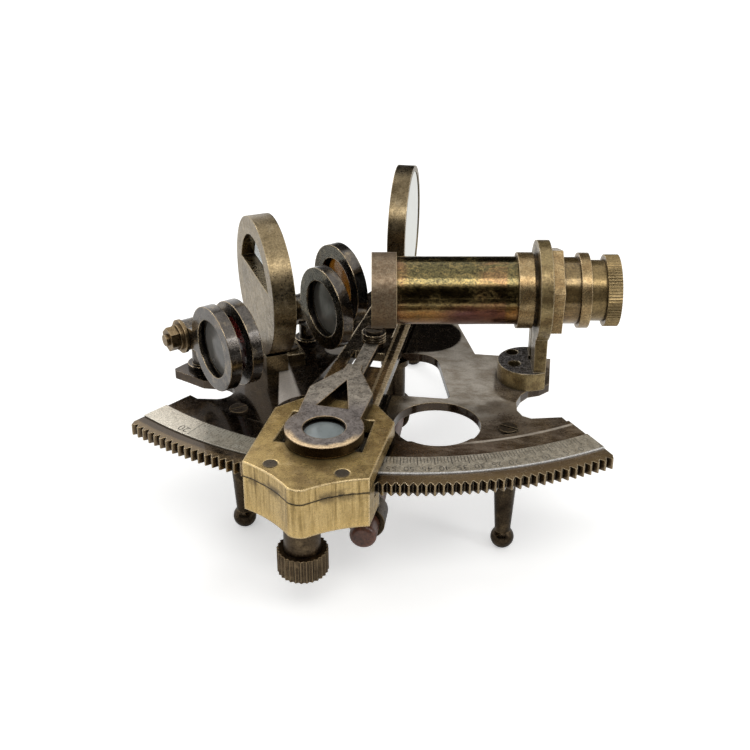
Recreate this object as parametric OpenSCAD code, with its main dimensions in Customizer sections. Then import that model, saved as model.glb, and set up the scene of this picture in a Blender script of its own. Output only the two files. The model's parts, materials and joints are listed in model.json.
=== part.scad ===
// Small brass desk sextant on three turned feet, drawn lying flat.
// The index axis is vertical, the toothed limb points along -Y, +Z is up,
// and the origin is the middle of the rear foot's sole.
// Shapes are first drawn in the plate frame: index axis at x = y = 0, top of the limb at z = 0.

/* [Limb and frame] */
// Radius of the limb over the tips of the rack teeth
limb_r = 100; // [97:0.5:103]
// Number of rack teeth cut along the limb
rack_teeth = 63; // [61:1:65]
// Teeth that a full circle of the same rack would have
rack_full = 318; // [316:1:320]
// Radial width of the raised limb
limb_band = 19; // [17:0.5:20]
// Thickness of the limb
plate_t = 2.8; // [2.2:0.1:3.2]
// How far the web lies below the top of the limb
web_drop = 0.5; // [0.3:0.1:0.8]
// Radius of the two round holes in the web
round_hole_r = 10.6; // [9:0.1:11.2]
// Height of the silvered scale above the limb
scale_t = 0.35; // [0.2:0.05:0.5]

/* [Feet and handle] */
// Height of the top of the limb above the ground
stand_h = 34.4; // [32:0.5:36]
// Radius of a leg below its collar
leg_r = 3.0; // [2.6:0.1:3.2]
// Distance of the rear foot behind the index axis
rear_leg_y = 22; // [21:0.5:23]
// Radius of the wooden handle
handle_r = 3.25; // [2.8:0.05:3.6]
// Length of the wooden handle
handle_len = 62; // [60:1:64]
// Height of the handle's axis below the top of the limb
handle_drop = 19; // [18:0.5:20]

/* [Index arm] */
// Rest angle of the index arm from the middle of the limb
arm_rest = -5.7; // [-7:0.1:-4]
// Thickness of the arm
arm_t = 2.4; // [2:0.1:2.4]
// Width of the arm next to its round head
arm_w = 11.6; // [10:0.2:13]
// Width of the box at the end of the arm
box_w = 29.4; // [28.4:0.2:31]
// Height of the box from its floor to its cover
box_h = 12.7; // [12:0.1:14]
// Thickness of the cover of the box
cover_t = 3.7; // [3.4:0.1:3.7]

/* [Drive] */
// Teeth of the pinion
pinion_teeth = 14; // [13:1:15]
// Radius of the knurled drive knob
knob_r = 6; // [5:0.1:6.5]
// Height of the knurled drive knob
knob_h = 6; // [5:0.5:8]

/* [Reading magnifier] */
// Outer radius of the magnifier's eye
eye_r = 9.2; // [8.4:0.1:9.6]
// Radius of the reading lens
lens_r = 5; // [4:0.1:6]
// Thickness of the magnifier's plate
eye_t = 2.7; // [2.2:0.1:3]

/* [Mirrors] */
// Radius of the index mirror's frame
index_mirror_r = 17.5; // [16.5:0.1:18]
// Thickness of the index mirror's frame
index_mirror_t = 4.8; // [4:0.1:5.2]
// Radius of the horizon mirror's frame
horizon_mirror_r = 18; // [17:0.1:18.4]
// Thickness of the horizon mirror's frame
horizon_mirror_t = 5.8; // [5:0.1:6]

/* [Shades] */
// Outer radius of a shade's ring
shade_r = 10.8; // [10:0.1:11]
// Radius of the opening in a shade's ring
shade_bore_r = 7.4; // [7:0.1:8]
// Thickness of a shade
shade_t = 3; // [2.6:0.1:3.1]
// Distance between the two shades on one post
shade_pitch = 5.9; // [5.6:0.1:6.1]
// Distance from a shade's pivot to the middle of its ring
shade_reach = 17; // [16.5:0.1:17.2]
// Height of the shade pivots above the limb
shade_pivot_z = 9.6; // [9.4:0.1:10]

/* [Telescope] */
// Height of the telescope's axis above the limb
tele_z = 24.2; // [24:0.1:26]
// Angle of the telescope from the X axis
tele_angle = 7.9; // [7:0.1:9]
// Radius of the telescope's main tube
barrel_r = 8.5; // [8.3:0.05:8.6]
// Radius of the sliding draw tube
draw_r = 7.6; // [7.3:0.05:7.6]
// Distance from the bracket to the front of the telescope
tele_front = 42.4; // [40:0.1:42.4]

/* [Hidden] */

fit = 0.03;
wide = 400;
smooth = 96;

// Rack and pinion
tooth_add = 0.85;
tooth_ded = 1.2;
tooth_m = limb_r / (rack_full / 2 + tooth_add);
pressure = 30;
tooth_gap_share = 0.06;
rack_pitch_r = tooth_m * rack_full / 2;
rack_root_r = rack_pitch_r - tooth_ded * tooth_m;
pinion_pitch_r = tooth_m * pinion_teeth / 2;
pinion_tip_r = pinion_pitch_r + tooth_add * tooth_m;
pinion_root_r = pinion_pitch_r - tooth_ded * tooth_m;
drive_r = rack_pitch_r + pinion_pitch_r;
rack_step = 360 / rack_full;
limb_angle = rack_teeth * rack_step;
limb_start = -89.7 - limb_angle / 2;
limb_in = limb_r - limb_band;
// Round holes in the web: the left one is a little nearer the middle
hole_left_x = -14.2;
hole_right_x = 16;
web_z = -plate_t + 0.02;
drive_side = -0.7;
drive_angle = -90 + arm_rest + drive_side;

// Scale
scale_in = limb_r - 11.5;
scale_out = limb_r - 4.6;
vernier_angle = 16;
vernier_w = 6.2;

// Legs
leg_in_r = limb_in - 2.5;
leg_half_angle = 25;
leg_screw_r = 1.4;

// Handle
handle_x = 1;
handle_front_y = -94.5;
post_r = 2.85;
post_eye_r = 4.5;
post_eye_w = 6.3;
post_front_y = -limb_r + 15;
post_rear_y = -34;

// Index arm and box, along the arm from the index axis
pivot_r = 2.5;
arm_z = 0.9;
arm_top = arm_z + arm_t;
cover_top = 1.3 + cover_t;
cover_z = cover_top - cover_t;
box_floor = cover_top - box_h;
box_back = limb_r - 27.7;
box_shoulder = limb_r - 20.6;
box_corner = limb_r + 4.1;
box_front = limb_r + 12.4;
arm_end_w = 17.2;
nose_r = 4;
flank_r = 32;
window_back = limb_r - 20.2;
window_front = limb_r - 6;
window_w = 21;
rivet_r = 1.6;
housing_back = limb_r - 5;
housing_top = cover_z;
shaft_r = 2.4;
knob_top = -16.4;

// Magnifier, along the arm from the index axis
stud_y = 39.5;
// Front end of the short slot in the arm, in front of that stud
slot_end = stud_y + 11.5;
eye_x = 0.6;
eye_y = limb_r - 9.7;
eye_z = cover_top + 0.4;
bar_z = arm_top + 0.2;
bar_t = 1.7;
bar_w = 3.8;
stack_z = bar_z + bar_t + 0.05;
stack_h = 2.15;
neck_y = limb_r - 38;
wing_y = limb_r - 27.2;
wing_w = 15.8;
waist_w = 15;
key_base = limb_r - 19;
key_w = 7.8;

// Mirrors
index_mirror_z = arm_top + 0.1 + index_mirror_r;
index_mirror_turn = 5;
index_mirror_x = -0.8;
horizon_x = -31.6;
horizon_y = -42.8;
horizon_turn = 27.7;
horizon_z = 3 + horizon_mirror_r;
horizon_foot_w = 17;
horizon_foot_h = 4.9;
window_arc_r = horizon_mirror_r - 4.6;
window_chord = 3.2;

// Shade posts
shade_turn = 220.6;
horizon_post = [-48.3, -49.7];
index_post = [-23.3, -31.5];
horizon_tilt = 11.5;
index_tilt = 24;
index_tilt_light = 40;
boss_r = 4;
bolt_r = 1.5;
glass_t = 1.6;
glass_r = shade_bore_r + 0.8;

// Telescope, measured along its axis from the middle of the bracket
bracket_x = 38.9;
bracket_y = -43.7;
bracket_t = 3.1;
bracket_ring_r = 12.55;
collar_r = barrel_r + 1;
barrel_end = 8.8;
bore_r = draw_r + 0.05;
draw_end = 15.3;
nut_r = barrel_r + 3.3;
nut_t = 2.9;
cap_len = 3.5;
cap_r = draw_r + 1.35;

// Point at radius r and angle a
function polar(r, a) = [r * cos(a), r * sin(a)];

// Involute function, in degrees
function inv(a) = tan(a) * 180 / PI - a;

// Half angle of a gear tooth at radius r; n teeth, base radius rb
function half_tooth(n, rb, r) =
    90 / n * (1 - tooth_gap_share) + inv(pressure) - inv(acos(min(1, rb / max(r, rb))));

// One gear tooth as points from its left root to its right root, centred on angle a
function tooth(n, root, tip, a, rb, steps = 4) = [
    for (i = [0 : steps]) let (r = root + (tip - root) * i / steps)
        polar(r, a - half_tooth(n, rb, r)),
    for (i = [steps : -1 : 0]) let (r = root + (tip - root) * i / steps)
        polar(r, a + half_tooth(n, rb, r))
];

// Moves the plate frame to the object's own frame
module place() {
    translate([0, -rear_leg_y, stand_h]) children();
}

// The arm's frame: local -Y runs out along the arm
module on_arm() {
    place() rotate([0, 0, arm_rest]) children();
}

// The telescope's frame: local +X runs along the axis towards the eye
module on_bracket() {
    place() translate([bracket_x, bracket_y, 0]) rotate([0, 0, tele_angle]) children();
}

// A ring or disc whose axis is local X, from x0 to x1
module disc_x(r, x0, x1) {
    translate([x0, 0, 0]) rotate([0, 90, 0]) cylinder(r = r, h = x1 - x0, $fn = smooth);
}

// A ring round local X
module ring_x(r, bore, x0, x1) {
    difference() {
        disc_x(r, x0, x1);
        disc_x(bore, x0 - 1, x1 + 1);
    }
}

// A tube on the telescope's axis
module tele_ring(r, bore, x0, x1) {
    on_bracket() translate([0, 0, tele_z]) ring_x(r, bore, x0, x1);
}

// Part of a flat ring, from angle a0 over the angle span
module sector(r_in, r_out, z0, z1, a0, span) {
    rotate([0, 0, a0]) rotate_extrude(angle = span, $fn = 360)
        translate([r_in, z0]) square([r_out - r_in, z1 - z0]);
}

// Outline of the web between the index axis and the limb
module web_outline() {
    right = [[9.5, 4], [bracket_x - 16.4, bracket_y + 10.4], [bracket_x + 3.6, bracket_y + 10.4],
        [bracket_x + 3.6, bracket_y - 3.2], [bracket_x + 1.2, bracket_y - 5.9],
        [bracket_x - 1.6, bracket_y - 7.2], [bracket_x - 3.4, bracket_y - 10],
        [bracket_x - 4.4, bracket_y - 13.8], [bracket_x - 4, -limb_in + 19.5],
        [bracket_x - 2.6, -limb_in + 17], [bracket_x - 0.4, -limb_in + 16],
        polar(limb_in - 2.8, limb_start + limb_angle)];
    limb = [for (i = [0 : 7]) polar(limb_in + 4, limb_start + 0.2 + (limb_angle - 0.4) * (7 - i) / 7)];
    notch = [for (i = [-6 : 6]) [-40.9, -limb_in + 19] + polar(4.4, i * 15)];
    left = [polar(limb_in + 1.6, limb_start + 0.2), [-44.6, -limb_in + 14.3], each notch,
        horizon_post + [2.6, -7.9], horizon_post + [-1.1, -6], horizon_post + [-6, -3.6],
        horizon_post + [-6.4, -2.6], horizon_post + [-4.4, 0.6], horizon_post + [0.4, 6.6],
        [-41, -35.6], [-35.6, -31.8],
        index_post + [-7.6, -1.6], index_post + [-4.4, 2.8], index_post + [-0.5, 5.4], [-9.5, 4]];
    polygon(concat(right, limb, left));
    translate(index_post) circle(r = 5, $fn = smooth);
}

// Opening in the middle of the web, with well rounded corners behind and sharper ones in front
module web_window() {
    hull() {
        for (s = [-1, 1]) {
            translate([s * 7.8, -41.4]) circle(r = 6, $fn = 48);
            translate([s * 16.5, -56.8]) circle(r = 1.4, $fn = 32);
        }
    }
}

// Rack teeth as one toothed strip on the limb
module rack_strip() {
    rb = rack_pitch_r * cos(pressure);
    teeth = [for (i = [0 : rack_teeth - 1])
        each tooth(rack_full, rack_root_r, limb_r, limb_start + (i + 0.5) * rack_step, rb, 2)];
    inner = [for (i = [0 : 31]) polar(rack_root_r - 2.5, limb_start + limb_angle * (31 - i) / 31)];
    translate([0, 0, -plate_t]) linear_extrude(plate_t)
        polygon(concat([polar(rack_root_r, limb_start)], teeth,
            [polar(rack_root_r, limb_start + limb_angle)], inner));
}

module frame_plate() {
    color([0.24, 0.18, 0.12]) place() difference() {
        union() {
            sector(limb_in, rack_root_r, -plate_t, 0, limb_start, limb_angle);
            rack_strip();
            translate([0, 0, web_z]) linear_extrude(-web_drop - web_z) web_outline();
            translate([0, 0, -plate_t]) cylinder(r = 9.5, h = plate_t + 0.3, $fn = smooth);
            translate([0, rear_leg_y, -plate_t]) cylinder(r = 5.8, h = plate_t - web_drop, $fn = smooth);
            translate([-5.8, 0, -plate_t]) cube([11.6, rear_leg_y, plate_t - web_drop]);
        }
        translate([0, 0, -wide / 2]) linear_extrude(wide) web_window();
        for (x = [hole_left_x, hole_right_x])
            translate([x, -limb_in + 10, -wide / 2])
                cylinder(r = round_hole_r, h = wide, $fn = smooth);
        translate([0, 0, -wide / 2]) cylinder(r = pivot_r + fit, h = wide, $fn = smooth);
        for (p = leg_places())
            translate([p[0], p[1], -wide / 2]) cylinder(r = leg_screw_r + fit, h = wide, $fn = 48);
        for (y = [post_front_y, post_rear_y])
            translate([handle_x, y, -wide / 2]) cylinder(r = 1.5 + fit, h = wide, $fn = 48);
    }
}

// Places of the three legs in the plate frame
function leg_places() = [
    polar(leg_in_r, -90 - leg_half_angle),
    polar(leg_in_r, -90 + leg_half_angle),
    [0, rear_leg_y]
];

module scale_arc() {
    color([0.75, 0.74, 0.68]) place()
        sector(scale_in, scale_out, 0, scale_t, limb_start, limb_angle);
}

// One turned leg: collar, taper, ankle and ball foot with a small flat sole
module leg(p) {
    h = stand_h - plate_t;
    ball = leg_r - 0.05;
    sole = 1.4;
    drop = sqrt(ball * ball - sole * sole);
    color([0.22, 0.17, 0.12]) place() translate([p[0], p[1], -stand_h]) difference() {
        union() {
            intersection() {
                translate([0, 0, drop]) sphere(r = ball, $fn = smooth);
                cylinder(r = leg_r * 2, h = drop * 2.2, $fn = smooth);
            }
            rotate_extrude($fn = smooth)
                polygon([[0, drop], [2, drop + 1.6], [2, drop + 3], [leg_r, h - 9.2],
                    [leg_r, h - 4.4], [leg_r - 0.5, h - 3.6], [leg_r - 0.5, h - 2.6],
                    [leg_r + 0.3, h - 2], [leg_r + 0.3, h], [0, h]]);
        }
        translate([0, 0, h - 6]) cylinder(r = leg_screw_r + fit, h = 10, $fn = 48);
    }
}

module leg_left() {
    leg(leg_places()[0]);
}

module leg_right() {
    leg(leg_places()[1]);
}

module leg_rear() {
    leg(leg_places()[2]);
}

// Cheese-headed screw with a slot, pointing down from z = 0
module slot_screw(head_r, head_h, shank_r, shank_l) {
    difference() {
        union() {
            cylinder(r = head_r, h = head_h, $fn = 48);
            translate([0, 0, -shank_l]) cylinder(r = shank_r, h = shank_l + 0.1, $fn = 48);
        }
        translate([-head_r - 1, -0.3, head_h * 0.45]) cube([2 * head_r + 2, 0.6, head_h]);
    }
}

module leg_screws() {
    turn = [35, -20, 70];
    color([0.3, 0.25, 0.18]) place()
        for (i = [0 : 2]) let (p = leg_places()[i])
            translate([p[0], p[1], -web_drop]) rotate([0, 0, turn[i]])
                slot_screw(2.3, 0.8, leg_screw_r, plate_t + 4.5);
}

module handle() {
    end_r = handle_r - 0.6;
    color([0.35, 0.12, 0.07]) place()
        translate([handle_x, handle_front_y, -handle_drop]) rotate([-90, 0, 0])
            rotate_extrude($fn = smooth)
                polygon(concat([[0, 0]],
                    [for (a = [0 : 15 : 90]) [handle_r - 1.4 + 1.4 * sin(a), 1.4 - 1.4 * cos(a)]],
                    [[handle_r, handle_len - 1], [end_r, handle_len], [0, handle_len]]));
}

// Pillar with an eye that carries the handle
module handle_post(y, top) {
    color([0.2, 0.16, 0.12]) place() translate([handle_x, y, 0]) difference() {
        union() {
            translate([0, 0, -handle_drop]) cylinder(r = post_r, h = handle_drop - plate_t, $fn = smooth);
            translate([0, 0, -plate_t - 1.6]) cylinder(r = post_r + 0.9, h = 1.6, $fn = smooth);
            translate([0, 0, -plate_t - 1]) cylinder(r = 1.5, h = plate_t + 1 + top, $fn = 48);
            translate([0, -post_eye_w / 2, -handle_drop]) rotate([-90, 0, 0])
                cylinder(r = post_eye_r, h = post_eye_w, $fn = smooth);
        }
        translate([0, -10, -handle_drop]) rotate([-90, 0, 0])
            cylinder(r = handle_r + fit, h = 20, $fn = smooth);
    }
}

module handle_post_front() {
    handle_post(post_front_y, 0);
}

module handle_post_rear() {
    handle_post(post_rear_y, -web_drop);
}

module index_arm() {
    neck = 10;
    color([0.42, 0.33, 0.2]) on_arm() difference() {
        union() {
            translate([0, 0, arm_z]) cylinder(r = 8.8, h = arm_t, $fn = smooth);
            translate([0, 0, 0.35]) cylinder(r = 5, h = 0.7, $fn = smooth);
            translate([0, 0, arm_z]) linear_extrude(arm_t) polygon([[-arm_w / 2, 0], [arm_w / 2, 0],
                [arm_end_w / 2, -box_back], [6, -box_back], [6, -box_back - 5],
                [-6, -box_back - 5], [-6, -box_back], [-arm_end_w / 2, -box_back]]);
        }
        translate([0, 0, arm_z - 1]) linear_extrude(arm_t + 2) {
            polygon([[-2.9, -neck - 9], [2.9, -neck - 9], [3.5, -stud_y + 5.5], [-3.5, -stud_y + 5.5]]);
            polygon([[-4, -stud_y - 4], [4, -stud_y - 4], [4.6, -slot_end], [-4.6, -slot_end]]);
        }
        translate([0, 0, -1]) cylinder(r = pivot_r + fit, h = 10, $fn = smooth);
        translate([0, -stud_y, -1]) cylinder(r = bolt_r + fit, h = 10, $fn = 48);
    }
}

// Stud fixed in the arm's head, which turns in the frame
module pivot_stud() {
    color([0.3, 0.25, 0.18]) on_arm()
        translate([0, 0, -plate_t - 4]) cylinder(r = pivot_r, h = plate_t + 4 + arm_top, $fn = smooth);
}

module pivot_nut() {
    color([0.3, 0.25, 0.18]) on_arm() difference() {
        union() {
            translate([0, 0, -plate_t - 0.85]) cylinder(r = 5.2, h = 0.8, $fn = smooth);
            translate([0, 0, -plate_t - 3.6]) cylinder(r = 4.6, h = 2.8, $fn = 6);
        }
        translate([0, 0, -plate_t - 5]) cylinder(r = pivot_r + fit, h = 8, $fn = smooth);
    }
}

// Centre of the arc that hollows one front flank of the box: it starts at the corner and
// crosses the nose's arc just inside it
nose_y = nose_r - box_front;
flank_gap = [box_w / 2, -box_corner - nose_y];
flank_span = norm(flank_gap);
flank_reach = flank_r + nose_r - 0.12;
flank_along = (pow(flank_reach, 2) - pow(flank_r, 2) + pow(flank_span, 2)) / (2 * flank_span);
flank_off = sqrt(pow(flank_reach, 2) - pow(flank_along, 2));
flank_side = [flank_gap[1], -flank_gap[0]];
flank_centre = [0, nose_y] + (flank_gap * flank_along + flank_side * flank_off) / flank_span;
nose_end = [0, nose_y] + (flank_centre - [0, nose_y]) * (nose_r - 0.3) / flank_reach;

// Body of the box between two heights: hollowed flanks that meet in a round nose
module box_body(z, h) {
    w = box_w / 2;
    difference() {
        union() {
            translate([0, 0, z]) linear_extrude(h) polygon([[-arm_end_w / 2, -box_back],
                [-w, -box_shoulder], [-w, -box_corner], [-nose_end[0], nose_end[1]],
                [nose_end[0], nose_end[1]], [w, -box_corner], [w, -box_shoulder],
                [arm_end_w / 2, -box_back]]);
            translate([0, nose_y, z]) cylinder(r = nose_r, h = h, $fn = smooth);
        }
        for (s = [-1, 1]) translate([s * flank_centre[0], flank_centre[1], z - 1])
            cylinder(r = flank_r, h = h + 2, $fn = 180);
    }
}

function rivet_places() = [for (s = [-1, 1]) [s * 8.3, -limb_r - 3.4]];

module arm_cover() {
    color([0.62, 0.5, 0.26]) on_arm() difference() {
        box_body(cover_z, cover_t);
        translate([0, 0, cover_z - 1]) linear_extrude(cover_t + 2)
            polygon([[-window_w / 2 + 0.6, -window_back], [window_w / 2 - 0.6, -window_back],
                [window_w / 2, -window_front], [-window_w / 2, -window_front]]);
        translate([-6.05, -box_back - 5.05, cover_z - 1]) cube([12.1, 6, arm_top - cover_z + 1.02]);
        for (p = rivet_places())
            translate([p[0], p[1], cover_z - 1]) cylinder(r = rivet_r + fit, h = cover_t + 2, $fn = 48);
    }
}

module cover_rivets() {
    color([0.4, 0.33, 0.2]) on_arm()
        for (p = rivet_places()) translate([p[0], p[1], cover_z - 0.5])
            cylinder(r = rivet_r, h = cover_t + 0.6, $fn = 48);
}

// Lower half of the box, in front of the rack and just under it
module drive_housing() {
    color([0.62, 0.5, 0.26]) difference() {
        on_arm() difference() {
            box_body(box_floor, housing_top - box_floor);
            translate([-wide / 2, -housing_back, box_floor - 1]) cube(wide);
            translate([0, 0, -plate_t - 0.4]) cylinder(r = limb_r + 0.6, h = wide, $fn = 360);
            for (p = rivet_places()) translate([p[0], p[1], cover_z - 0.6])
                cylinder(r = rivet_r + fit, h = 9, $fn = 48);
        }
        at_drive() {
            translate([0, 0, -plate_t - 1]) cylinder(r = pinion_tip_r + 0.4, h = wide, $fn = smooth);
            translate([0, 0, -wide / 2]) cylinder(r = shaft_r + fit, h = wide, $fn = smooth);
        }
    }
}

module vernier_plate() {
    color([0.72, 0.7, 0.62]) place()
        sector(scale_in - vernier_w, scale_in - 0.2, 0.6, cover_z,
            -90 + arm_rest - vernier_angle / 2, vernier_angle);
}

// The drive's frame: index arm's pinion axis
module at_drive() {
    place() rotate([0, 0, drive_angle + 90]) translate([0, -drive_r, 0]) children();
}

// Turn of the pinion that puts one of its gaps on a rack tooth
rack_phase = (drive_angle - limb_start) / rack_step - 0.5;
pinion_turn = 180 + 90 + 360 / pinion_teeth * (rack_phase - floor(rack_phase) - 0.5);

module pinion_shaft() {
    rb = pinion_pitch_r * cos(pressure);
    color([0.5, 0.4, 0.22]) at_drive() union() {
        translate([0, 0, -plate_t - 0.6]) linear_extrude(plate_t + 1.2) rotate([0, 0, pinion_turn - 180])
            polygon([for (i = [0 : pinion_teeth - 1])
                each tooth(pinion_teeth, pinion_root_r, pinion_tip_r, i * 360 / pinion_teeth, rb)]);
        translate([0, 0, knob_top - 2.2]) cylinder(r = shaft_r, h = 2.2 - knob_top - plate_t, $fn = smooth);
        translate([0, 0, knob_top - 1.2]) cylinder(r = 4.3, h = box_floor + 0.9 - knob_top, $fn = smooth);
    }
}

// Knurled knob with a recess round its neck
module drive_knob() {
    flutes = 28;
    color([0.36, 0.29, 0.18]) at_drive() translate([0, 0, knob_top - knob_h]) difference() {
        union() {
            linear_extrude(knob_h) polygon([for (i = [0 : 2 * flutes - 1])
                polar(knob_r - (i % 2) * 0.45, i * 180 / flutes)]);
        }
        translate([0, 0, knob_h - 1.2]) cylinder(r = 4.3 + fit, h = 3, $fn = smooth);
        translate([0, 0, knob_h - 2.2]) cylinder(r = shaft_r + fit, h = 3, $fn = smooth);
    }
}

module magnifier_arm() {
    color([0.32, 0.28, 0.23]) on_arm() difference() {
        union() {
            translate([0, -stud_y, bar_z]) cylinder(r = 3.2, h = bar_t, $fn = smooth);
            translate([-bar_w / 2, -neck_y - 1, bar_z]) cube([bar_w, neck_y + 1 - stud_y, bar_t]);
            translate([-bar_w / 2, -neck_y - 1, bar_z]) cube([bar_w, 3.6, eye_z - bar_z + 1]);
            translate([0, 0, eye_z]) linear_extrude(eye_t) polygon([[-bar_w / 2, -neck_y + 2.6],
                [bar_w / 2, -neck_y + 2.6], [bar_w / 2 + 0.3, -neck_y],
                [wing_w / 2, -wing_y], [waist_w / 2 + eye_x / 2, -eye_y + 5],
                [eye_x / 2 - waist_w / 2, -eye_y + 5], [-wing_w / 2, -wing_y],
                [-bar_w / 2 - 0.3, -neck_y]]);
            translate([eye_x, -eye_y, eye_z]) cylinder(r = eye_r, h = eye_t, $fn = smooth);
        }
        translate([0, -stud_y, 0]) cylinder(r = bolt_r + fit, h = 20, $fn = 48);
        translate([eye_x, -eye_y, eye_z - 1]) cylinder(r = lens_r, h = eye_t + 2, $fn = smooth);
        translate([eye_x, -eye_y, eye_z - 1])
            cylinder(r = lens_r + 1 + fit, h = eye_t + 0.4, $fn = smooth);
        translate([0, 0, eye_z - 1]) linear_extrude(eye_t + 2)
            polygon([[0, -neck_y - 5.5], [key_w / 2, -key_base], [-key_w / 2, -key_base]]);
    }
}

module reading_lens() {
    color([0.7, 0.78, 0.8, 0.5]) on_arm() translate([eye_x, -eye_y, eye_z + eye_t - 0.6 - 1.3])
        cylinder(r = lens_r + 1, h = 1.3, $fn = smooth);
}

module lens_ring() {
    color([0.3, 0.26, 0.2]) on_arm() translate([eye_x, -eye_y, eye_z + 0.1]) difference() {
        cylinder(r = lens_r + 1, h = eye_t - 2, $fn = smooth);
        translate([0, 0, -1]) cylinder(r = lens_r, h = eye_t + 2, $fn = smooth);
    }
}

// Stack of spring washers on the magnifier's stud
module magnifier_washers() {
    color([0.2, 0.17, 0.13]) on_arm() translate([0, -stud_y, stack_z]) difference() {
        union() {
            for (i = [0 : 2]) translate([0, 0, i * 0.8]) cylinder(r = 3.2, h = 0.55, $fn = 48);
            cylinder(r = 2.7, h = stack_h, $fn = 48);
        }
        translate([0, 0, -1]) cylinder(r = bolt_r + fit, h = 6, $fn = 48);
    }
}

module magnifier_screw() {
    color([0.3, 0.25, 0.18]) on_arm() translate([0, -stud_y, stack_z + stack_h])
        slot_screw(2.3, 0.8, bolt_r, stack_z + stack_h - arm_z);
}

// Block that holds the index mirror's frame upright on the arm
module index_mirror_foot() {
    t = index_mirror_t + 4;
    color([0.34, 0.28, 0.18]) on_arm() rotate([0, 0, index_mirror_turn])
        translate([index_mirror_x, 0, 0]) difference() {
            translate([-t / 2, -7, arm_top]) cube([t, 14, 4.2]);
            translate([0, 0, index_mirror_z]) disc_x(index_mirror_r + 0.02, -index_mirror_t / 2 - 0.02,
                index_mirror_t / 2 + 0.02);
        }
}

module index_mirror_frame() {
    h = index_mirror_t / 2;
    color([0.5, 0.42, 0.24]) on_arm() rotate([0, 0, index_mirror_turn])
        translate([index_mirror_x, 0, index_mirror_z]) difference() {
            disc_x(index_mirror_r, -h, h);
            disc_x(index_mirror_r - 1.5, h - 2, h + 1);
        }
}

module index_mirror() {
    h = index_mirror_t / 2;
    color([0.85, 0.88, 0.88]) on_arm() rotate([0, 0, index_mirror_turn])
        translate([index_mirror_x, 0, index_mirror_z]) disc_x(index_mirror_r - 1.55, h - 2, h - 0.2);
}

// The horizon mirror's frame: local +X is the silvered side
module at_horizon() {
    place() translate([horizon_x, horizon_y, 0]) rotate([0, 0, horizon_turn]) children();
}

module horizon_mirror_foot() {
    t = horizon_mirror_t;
    color([0.58, 0.47, 0.25]) at_horizon() difference() {
        union() {
            translate([-t / 2, -horizon_foot_w / 2, -web_drop]) cube([t, horizon_foot_w, horizon_foot_h]);
            translate([t / 2 - 0.1, -4, -web_drop]) cube([6, 8, 1.8]);
        }
        translate([0, 0, horizon_z]) disc_x(horizon_mirror_r + 0.02, -t, t);
        translate([t / 2 + 3.2, 0, -5]) cylinder(r = 1.2 + fit, h = 12, $fn = 48);
    }
}

// Thick disc with a half-moon opening above a straight edge
module horizon_mirror_frame() {
    h = horizon_mirror_t / 2;
    color([0.58, 0.5, 0.32]) at_horizon() translate([0, 0, horizon_z]) difference() {
        disc_x(horizon_mirror_r, -h, h);
        intersection() {
            disc_x(window_arc_r, -h - 1, h + 1);
            translate([-h - 2, -30, window_chord]) cube([2 * h + 4, 60, 30]);
        }
        disc_x(horizon_mirror_r - 2, h - 2.2, h + 1);
    }
}

module horizon_mirror() {
    h = horizon_mirror_t / 2;
    color([0.85, 0.88, 0.88]) at_horizon() translate([0, 0, horizon_z]) intersection() {
        disc_x(horizon_mirror_r - 2.05, h - 2.2, h - 0.3);
        translate([-1, -30, window_chord - 60]) cube([10, 60, 60]);
    }
}

module horizon_clear_glass() {
    h = horizon_mirror_t / 2;
    color([0.8, 0.85, 0.87, 0.4]) at_horizon() translate([0, 0, horizon_z]) intersection() {
        disc_x(horizon_mirror_r - 2.05, h - 2.2, h - 0.3);
        translate([-1, -30, window_chord + 0.05]) cube([10, 60, 60]);
    }
}

module horizon_foot_screw() {
    color([0.3, 0.25, 0.18]) at_horizon()
        translate([horizon_mirror_t / 2 + 3.2, 0, 1.8 - web_drop]) slot_screw(2, 0.7, 1.2, 1.8);
}

// A shade post's frame: local +X is the axis that its shades turn on
module at_post(p) {
    place() translate([p[0], p[1], 0]) rotate([0, 0, shade_turn]) children();
}

// Turned pillar with a flat head between the two shades
module shade_post(p) {
    gap = shade_pitch - shade_t;
    color([0.2, 0.17, 0.13]) at_post(p) difference() {
        union() {
            translate([0, 0, -web_drop]) cylinder(r = 3.4, h = 1.2, $fn = smooth);
            translate([0, 0, -web_drop]) cylinder(r = 2.2, h = shade_pivot_z - boss_r - 0.4, $fn = smooth);
            translate([-gap / 2 + 0.1, -2.2, 2]) cube([gap - 0.2, 4.4, shade_pivot_z - 2]);
            translate([0, 0, shade_pivot_z]) disc_x(boss_r, -gap / 2 + 0.1, gap / 2 - 0.1);
        }
        translate([0, 0, shade_pivot_z]) disc_x(bolt_r + fit, -10, 10);
    }
}

// Bolt through both shades: dir = 1 puts the nut on the +X side
module shade_bolt(p, dir) {
    out = shade_pitch / 2 + shade_t / 2;
    color([0.4, 0.33, 0.22]) at_post(p) translate([0, 0, shade_pivot_z]) mirror([dir < 0 ? 1 : 0, 0, 0])
        difference() {
            union() {
                disc_x(bolt_r, -out - 0.5, out + 5.2);
                disc_x(2.8, -out - 1.6, -out - 0.1);
            }
            translate([-out - 2.4, -4, -0.35]) cube([1.4, 8, 0.7]);
        }
}

module shade_nut(p, dir) {
    out = shade_pitch / 2 + shade_t / 2 + 1.9;
    color([0.42, 0.33, 0.22]) at_post(p) translate([0, 0, shade_pivot_z]) mirror([dir < 0 ? 1 : 0, 0, 0])
        difference() {
            translate([out, 0, 0]) rotate([0, 90, 0]) rotate([0, 0, 12]) cylinder(r = 3.2, h = 2.4, $fn = 6);
            disc_x(bolt_r + fit, out - 1, out + 4);
        }
}

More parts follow.
